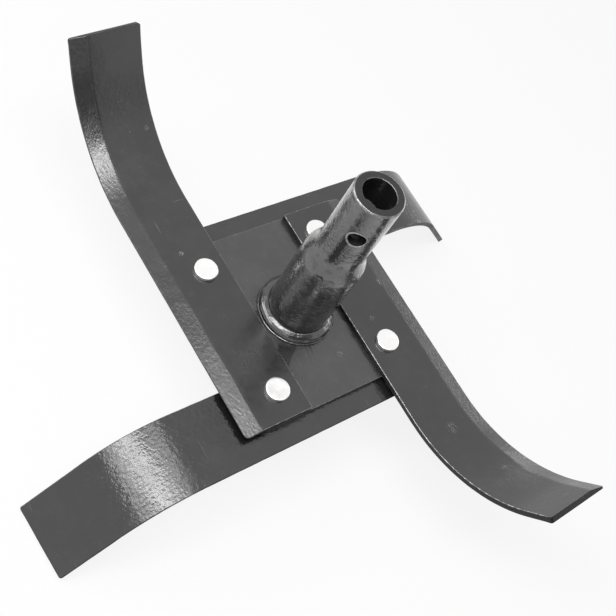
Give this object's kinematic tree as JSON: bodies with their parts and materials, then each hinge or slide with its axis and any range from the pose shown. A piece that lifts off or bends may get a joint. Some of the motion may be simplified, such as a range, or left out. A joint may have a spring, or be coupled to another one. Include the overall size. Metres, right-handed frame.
{
  "type": "tiller tine",
  "caption": "Tiller tine with bent, ground-edge blades riveted to a square plate on a swaged hub tube with a cross hole for its pin.",
  "frame": {"origin": "on the hub's axis, at the level of the lower blades' tips that the tine stands on", "axes": "+Z along the hub's axis towards its narrow open end; +Y along upper_blade_1 towards its tip; +X along lower_blade_2 towards its tip"},
  "size_m": [0.3604, 0.3592, 0.1818],
  "materials": {
    "black_paint": "semi-gloss black paint",
    "plated_steel": "bright plated steel"
  },
  "bodies": {
    "root": {"plate": "black_paint", "hub_tube": "black_paint", "hub_weld": "black_paint", "upper_blade_1": "black_paint", "upper_blade_2": "black_paint", "lower_blade_1": "black_paint", "lower_blade_2": "black_paint", "rivet_1": "plated_steel", "rivet_2": "plated_steel", "rivet_3": "plated_steel", "rivet_4": "plated_steel"}
  },
  "joints": []
}
